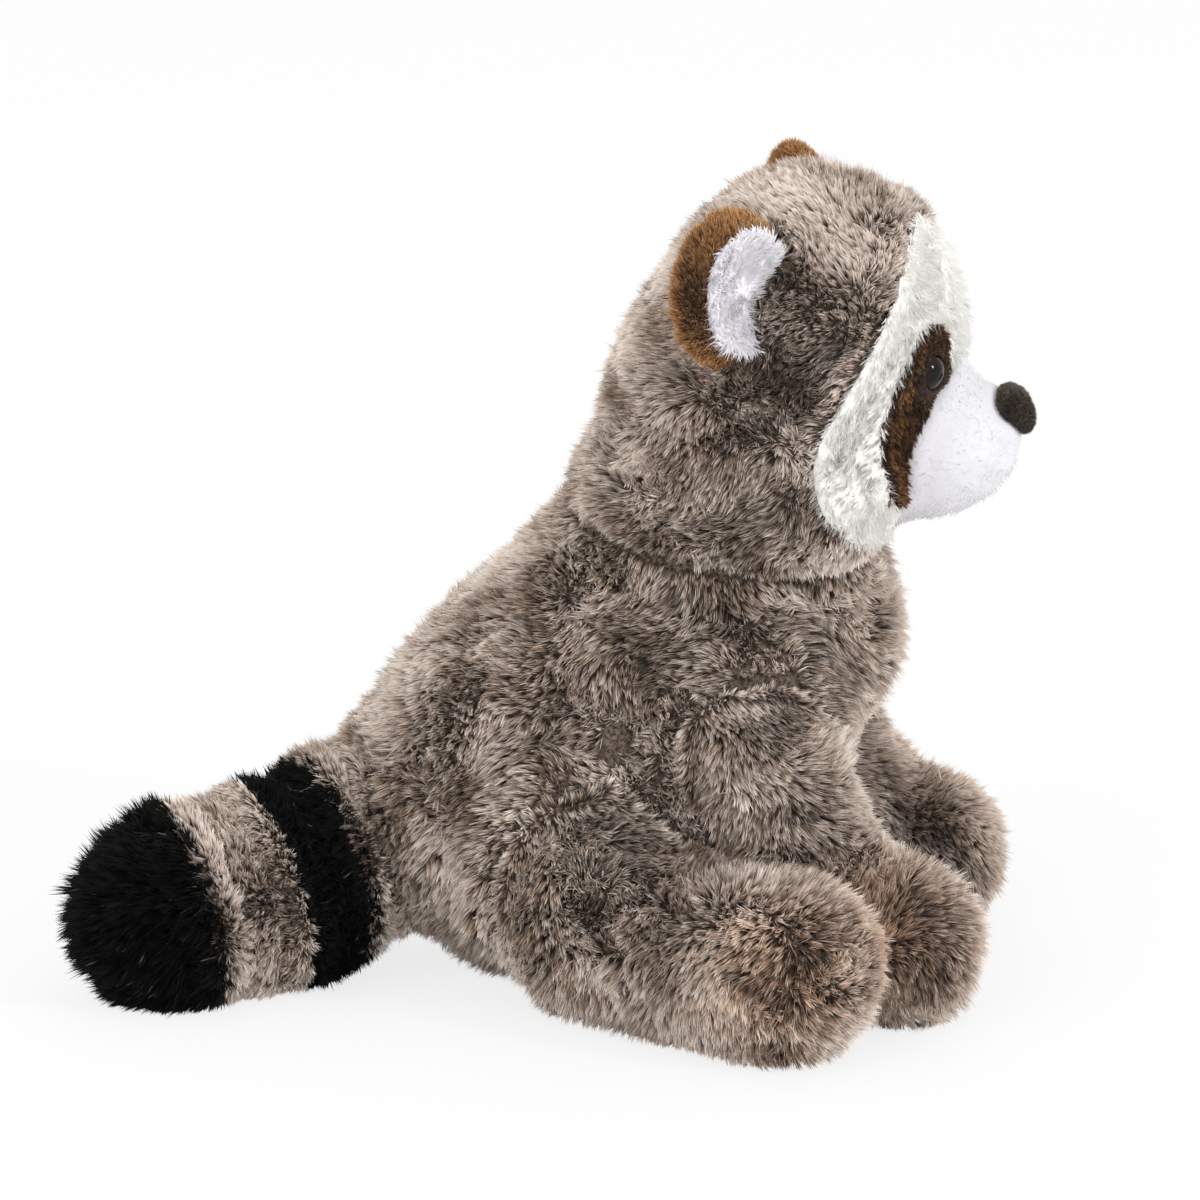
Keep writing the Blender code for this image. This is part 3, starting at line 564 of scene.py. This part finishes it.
pawSettings["spots"] = [pawSpot(leg + side, sign, pawSettings)
                        for leg in ("hind_leg_", "front_leg_") for side, sign in sides]
frosted = (
    ((0.0, (0.022, 0.0135, 0.009)), (0.22, (0.058, 0.036, 0.025)), (0.38, (0.24, 0.175, 0.138)),
     (0.53, (0.55, 0.455, 0.39)), (0.75, (0.82, 0.725, 0.655)), (1.0, (0.95, 0.885, 0.83))),
    (0.22, 0.17, 0.135), (1.16, 1.16, 1.15), ((0.032, 0.020, 0.014), (0.20, 0.152, 0.12)))
greyPile = pileMaterial("frosted grey-brown pile", *frosted)
legPile = pileMaterial("frosted pile with browner paws", *frosted, browner=pawSettings)
whitePile = pileMaterial(
    "warm white pile",
    ((0.0, (0.90, 0.885, 0.85)), (0.4, (0.96, 0.95, 0.925)), (1.0, (0.985, 0.98, 0.965))),
    (0.97, 0.965, 0.95), (1.0, 1.0, 1.0), ((0.92, 0.91, 0.885), (0.95, 0.94, 0.915)), whites=True)
shortWhitePile = pileMaterial(
    "short cool white pile",
    ((0.0, (0.93, 0.92, 0.95)), (0.5, (0.96, 0.95, 0.98)), (1.0, (0.985, 0.975, 0.99))),
    (0.98, 0.98, 0.985), (1.0, 1.0, 1.0), ((0.93, 0.92, 0.95), (0.96, 0.95, 0.975)), whites=True)
# the muzzle's faint lavender tint is its own; its lower value than the short white pile is painted shade against
# the key light on it
muzzlePileWithPaintedShade = pileMaterial(
    "very short white pile of the muzzle",
    ((0.0, (0.79, 0.78, 0.81)), (0.5, (0.82, 0.81, 0.84)), (1.0, (0.84, 0.83, 0.86))),
    (0.97, 0.97, 0.975), (1.0, 1.0, 1.0), ((0.705, 0.695, 0.725), (0.735, 0.725, 0.755)), whites=True)
brownPile = pileMaterial(
    "short dark brown pile with amber tips",
    ((0.0, (0.018, 0.008, 0.004)), (0.5, (0.045, 0.021, 0.010)), (0.8, (0.12, 0.056, 0.022)),
     (1.0, (0.42, 0.22, 0.085))),
    (0.55, 0.5, 0.45), (1.5, 1.45, 1.4), ((0.012, 0.006, 0.003), (0.05, 0.024, 0.011)))
blackPile = pileMaterial(
    "black pile",
    ((0.0, (0.0012, 0.0012, 0.0012)), (0.6, (0.003, 0.0028, 0.0026)), (1.0, (0.008, 0.0075, 0.0068))),
    (0.7, 0.7, 0.7), (1.5, 1.45, 1.4), ((0.001, 0.001, 0.001), (0.003, 0.003, 0.0028)),
    roughness=0.75, sheen=0.02, strays=(0.32, 0.27, 0.23))
amberPile = pileMaterial(
    "amber brown pile of the ears",
    ((0.0, (0.06, 0.027, 0.010)), (0.45, (0.22, 0.105, 0.038)), (0.75, (0.48, 0.255, 0.10)),
     (1.0, (0.82, 0.52, 0.25))),
    (0.45, 0.38, 0.32), (1.2, 1.18, 1.15), ((0.030, 0.013, 0.005), (0.15, 0.072, 0.028)))
nosePile = pileMaterial(
    "charcoal nose pile",
    ((0.0, (0.026, 0.021, 0.017)), (0.6, (0.10, 0.082, 0.066)), (1.0, (0.30, 0.25, 0.20))),
    (0.6, 0.6, 0.6), (1.6, 1.6, 1.6), ((0.012, 0.010, 0.008), (0.08, 0.066, 0.053)), roughness=0.7, sheen=0.1)


# where the face is

skull = Vector((0.058, 0.0, 0.184))


def eyeLine(side):
    # where the eye sits on the cloth, the way it looks, its radius and how far its dome stands out
    points = corners("eye_" + side).astype(float)
    middle = points.mean(axis=0)
    axis = np.linalg.svd(points - middle, full_matrices=False)[2][0]
    axis *= np.sign(axis @ (middle - np.array(skull)))
    high = (points - middle) @ axis
    radial = np.linalg.norm(points - middle - high[:, None] * axis, axis=1)
    rim = high[radial > radial.max() * 0.98].min()
    return middle + axis * rim, axis, radial.max(), high.max() - rim


eyeLines = {side: eyeLine(side) for side, sign in sides}


def earRoot(side, share=0.15):
    # a point between the middle of the ear and the head
    return corners("ear_" + side).mean(axis=0) * (1 - share) + np.array(skull) * share


def steady(*heading):
    return lambda points: np.tile(np.array(heading, float), (len(points), 1))


def awayFrom(*middle):
    return lambda points: points - np.array(middle)


def roundHead(points):
    return np.cross(points - np.array(skull), (0.0, 0.0, 0.3)) + (-1.0, 0.0, -0.5)


# plush pieces: lengths in metres, leans and twists in degrees

longPile = {
    "voxel": 0.005, "smoothing": 4, "stuffed": True, "depth": 0.0046, "fill": 0.8,
    "length": 0.0070, "width": 0.00026, "lean": 30.0, "kneeAt": 0.40, "twist": 34.0,
    "tuftSize": 9, "gather": 0.50, "speckle": 0.17, "stray": 0.28,
    "swirl": 0.8, "swirlSize": 0.045, "patches": 0.12, "patchSize": 0.028,
    # painted light: paler tones on the rims and where the pile faces the front, painted shade on the sides
    "paintedRimLight": 0.13, "paintedFrontLight": 0.22, "material": greyPile, "slot": "grey_plush",
}
torsoPile = {
    **longPile, "name": "torsoPlush", "node": "torso", "seed": 11, "strands": 172000, "voxel": 0.006,
    "comb": steady(-0.35, 0.0, -1.0),
}
headPile = {
    **longPile, "name": "headPlush", "node": "head", "seed": 12, "strands": 172000, "voxel": 0.0055,
    "length": 0.0062, "depth": 0.0040, "tuftSize": 8, "comb": roundHead,
}
makePile(torsoPile)
makePile(headPile)

hindLegPile = {**longPile, "strands": 70000, "material": legPile}
frontLegPile = {**longPile, "strands": 61000, "material": legPile, "comb": steady(0.5, 0.0, -1.0)}
for side, sign in sides:
    makePile({**hindLegPile, "name": f"hindLeg{side.title()}", "node": f"hind_leg_{side}", "seed": 20 + sign,
              "comb": steady(0.8, sign * 0.5, -0.5)})
    makePile({**frontLegPile, "name": f"frontLeg{side.title()}", "node": f"front_leg_{side}", "seed": 30 + sign})

tailPile = {
    **longPile, "voxel": 0.002, "stuffed": False, "depth": 0.005, "swirl": 0.4, "comb": steady(-0.8, -0.6, 0.0),
}
blackTailPile = {**tailPile, "material": blackPile, "slot": "black_plush", "strays": 0.004}
makePile({**tailPile, "name": "tailBase", "node": "tail_base", "seed": 41, "strands": 24000})
makePile({**blackTailPile, "name": "tailRingBlack", "node": "tail_ring_black", "seed": 42, "strands": 18000})
makePile({**tailPile, "name": "tailRingGrey", "node": "tail_ring_grey", "seed": 43, "strands": 30000})
makePile({**blackTailPile, "name": "tailTip", "node": "tail_tip", "seed": 44, "strands": 31000,
          "length": 0.0105})

panelPile = {**longPile, "voxel": 0.0012, "stuffed": False, "swirl": 0.4}
bandPile = {
    **panelPile, "strands": 10000, "depth": 0.0018, "length": 0.0048, "width": 0.00015, "lean": 68.0,
    "gather": 0.04, "twist": 4.0, "swirl": 0.2, "stray": 0.1, "speckle": 0.08, "patches": 0.04,
    "paintedRimLight": 0.0, "paintedFrontLight": 0.0, "comb": steady(-0.8, 0.0, -1.0), "material": whitePile,
    "slot": "white_plush",
}
patchPile = {
    **panelPile, "strands": 13000, "depth": 0.0012, "length": 0.0044, "comb": steady(-0.3, 0.0, -1.0),
    "material": brownPile, "slot": "brown_plush",
}
shortPile = {
    **longPile, "voxel": 0.0014, "stuffed": False, "depth": 0.0012, "length": 0.0026, "width": 0.00028,
    "lean": 58.0, "twist": 16.0, "gather": 0.06, "swirl": 0.2, "stray": 0.12, "speckle": 0.08,
    "patches": 0.04, "paintedRimLight": 0.0, "paintedFrontLight": 0.0, "material": shortWhitePile,
    "slot": "short_white_plush",
}
earPile = {
    **shortPile, "strands": 22000, "depth": 0.0018, "length": 0.0040, "lean": 36.0, "twist": 30.0,
    "speckle": 0.15, "comb": steady(-0.2, 0.0, 1.0), "material": amberPile, "slot": "brown_plush",
}
liningPile = {**shortPile, "strands": 3800, "length": 0.0050, "width": 0.00014, "lean": 56.0, "twist": 4.0}
for side, sign in sides:
    makePile({**bandPile, "name": f"cheekBand{side.title()}", "node": f"cheek_band_{side}", "seed": 50 + sign})
    makePile({**patchPile, "name": f"eyePatch{side.title()}", "node": f"eye_patch_{side}", "seed": 54 + sign,
              "eye": eyeLines[side][0]})
    makePile({**earPile, "name": f"earShell{side.title()}", "node": f"ear_{side}", "seed": 58 + sign})
    makePile({**liningPile, "name": f"earLining{side.title()}", "node": f"ear_lining_{side}", "seed": 62 + sign,
              "comb": awayFrom(*earRoot(side))})
muzzleSettings = {
    **shortPile, "name": "muzzlePlush", "node": "muzzle", "seed": 70, "strands": 5000, "length": 0.0016,
    "width": 0.00009, "lean": 66.0, "twist": 4.0, "comb": steady(-1.0, 0.0, 0.0), "material": muzzlePileWithPaintedShade,
}
noseSettings = {
    **shortPile, "name": "nosePlush", "node": "nose", "seed": 71, "strands": 9000, "voxel": 0.0007,
    "depth": 0.0004, "length": 0.0014, "width": 0.00020, "lean": 35.0, "speckle": 0.17,
    "comb": steady(-1.0, 0.0, -0.4), "material": nosePile, "slot": "nose_plush",
}
makePile(muzzleSettings)
makePile(noseSettings)


# eyes and washers

eyeSettings = {
    "pupil": (0.002, 0.0015, 0.0015),
    "iris": (0.009, 0.0045, 0.0028),
    "rim": (0.004, 0.003, 0.0025),
    "pupilTo": 0.50,  # shares of the radius
    "irisFrom": 0.56,
    "irisTo": 0.80,
    "rimFrom": 0.95,
    "roughness": 0.08,
    "shine": 0.2,
    "back": 0.0008,  # how deep the dome's flat back bulges
}


def eyeMaterial(s):
    made, start, shader = newMaterial("clear gloss over a brown iris", {
        "Roughness": s["roughness"], "Specular IOR Level": s["shine"]})
    mapped = start.node("ShaderNodeUVMap", {"uv_map": "eyeMap"})
    out = start.node("ShaderNodeSeparateXYZ", None, {0: mapped}, output=1)
    colour = start.node("ShaderNodeValToRGB", {"stops": (
        (0.0, s["pupil"]), (s["pupilTo"], s["pupil"]), (s["irisFrom"], s["iris"]), (s["irisTo"], s["iris"]),
        (s["rimFrom"], s["rim"]))}, {0: out})
    plug(colour, shader, "Base Color")
    return made


def makeEye(side, material, s):
    # the same dome as the CAD eye, turned more finely
    seat, axis, radius, dome = eyeLines[side]
    bpy.ops.object.select_all(action="DESELECT")
    bpy.ops.mesh.primitive_uv_sphere_add(segments=48, ring_count=32, radius=1.0)
    eye = bpy.context.object
    eye.name = "eyeDome" + side.title()
    mesh = eye.data
    spots = numbers(mesh.vertices, "co", 3).astype(float)
    flat = np.minimum(spots[:, 2], 0)
    spots[:, 2] = np.where(spots[:, 2] > 0, spots[:, 2] * dome, flat * s["back"])
    spots[:, :2] *= radius
    turn = Vector(axis).to_track_quat("Z", "Y").to_matrix().to_4x4()
    placing = np.array(Matrix.Translation(Vector(seat)) @ turn)
    layer = mesh.uv_layers.new(name="eyeMap")
    corner = numbers(mesh.loops, "vertex_index", 1, np.int32)
    reach = np.linalg.norm(spots[:, :2], axis=1) / radius
    reach = np.where(spots[:, 2] < 0, 1.0, reach)
    around = np.arctan2(spots[:, 1], spots[:, 0]) / (2 * math.pi) + 0.5
    layer.uv.foreach_set("vector", np.stack([around[corner], reach[corner]], 1).astype(np.float32).ravel())
    placed = spots @ placing[:3, :3].T + placing[:3, 3]
    mesh.vertices.foreach_set("co", placed.astype(np.float32).ravel())
    mesh.update()
    mesh.shade_smooth()
    mesh.materials.clear()
    mesh.materials.append(material)
    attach(eye, "root")
    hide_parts("eye_" + side)
    print(eye.name, "radius", round(radius * 1000, 2), "dome", round(dome * 1000, 2))


washerSettings = {
    "colour": (0.78, 0.78, 0.76),
    "smoothest": 0.42,
    "roughnessSpread": 0.16,
    "grain": {"Scale": 900.0, "Detail": 2.0},
}


def washerMaterial(s):
    made, start, shader = newMaterial("matte washer plastic", {"Base Color": (*s["colour"], 1)})
    grain = start.node("ShaderNodeTexNoise", None, {"Vector": objectPlace(start), **s["grain"]})
    plug(s["smoothest"] + grain * s["roughnessSpread"], shader, "Roughness")
    return made


eyeGloss = eyeMaterial(eyeSettings)
washerPlastic = washerMaterial(washerSettings)
for side, sign in sides:
    makeEye(side, eyeGloss, eyeSettings)
    washer = frame["nodes"]["eye_washer_" + side]
    washer.data.materials.clear()
    washer.data.materials.append(washerPlastic)


# floor and light

lightSettings = {
    "sky": 0.96,
    "key": {"place": (2.25, -0.95, 1.2), "size": 0.42, "power": 21.0},
    "fill": {"place": (-1.2, -2.0, 1.7), "size": 1.8, "power": 16.0},
    "aim": (0.0, 0.0, 0.1),
    "floorSize": 14.0,
    "floorColour": 0.90,
    "floorGrain": 0.01,
    "grain": {"Scale": 3.0, "Detail": 3.0},
    "floorLift": 0.80,  # how far the floor is lifted to white where the camera sees it
}


def floorMaterial(s):
    made, start, shader = newMaterial("pale floor", {"Roughness": 1.0, "Specular IOR Level": 0.0})
    grain = start.node("ShaderNodeTexNoise", None, {"Vector": objectPlace(start), **s["grain"]})
    plug(s["floorColour"] - s["floorGrain"] / 2 + grain * s["floorGrain"], shader, "Base Color")
    seen = start.node("ShaderNodeLightPath", output=0)
    white = start.node("ShaderNodeEmission", None, {"Color": (1, 1, 1, 1), "Strength": 1.0})
    lifted = start.node("ShaderNodeMixShader", None, {0: seen * s["floorLift"], 2: white})
    tree = made.node_tree
    tree.links.new(shader.outputs[0], lifted.socket.node.inputs[1])
    tree.links.new(lifted.socket, tree.nodes["Material Output"].inputs["Surface"])
    return made


def makeStage(s):
    bpy.ops.object.select_all(action="DESELECT")
    bpy.ops.mesh.primitive_plane_add(size=s["floorSize"])
    floor = bpy.context.object
    floor.name = "paleFloor"
    floor.data.materials.append(floorMaterial(s))
    world = bpy.data.worlds.new("soft studio")
    world.use_nodes = True
    world.node_tree.nodes["Background"].inputs["Color"].default_value = (1, 1, 1, 1)
    world.node_tree.nodes["Background"].inputs["Strength"].default_value = s["sky"]
    scene.world = world
    for name in ("key", "fill"):
        spot = Vector(s[name]["place"])
        facing = (Vector(s["aim"]) - spot).to_track_quat("-Z", "Y").to_euler()
        bpy.ops.object.light_add(type="AREA", location=spot, rotation=facing)
        light = bpy.context.object
        light.name = name + "Light"
        light.data.size = s[name]["size"]
        light.data.energy = s[name]["power"]


makeStage(lightSettings)
scene.view_settings.view_transform = "Standard"
print("stage ready")

total = sum(len(o.data.polygons) for o in scene.objects if o.type == "MESH" and not o.hide_render)
print("faces in all", total)
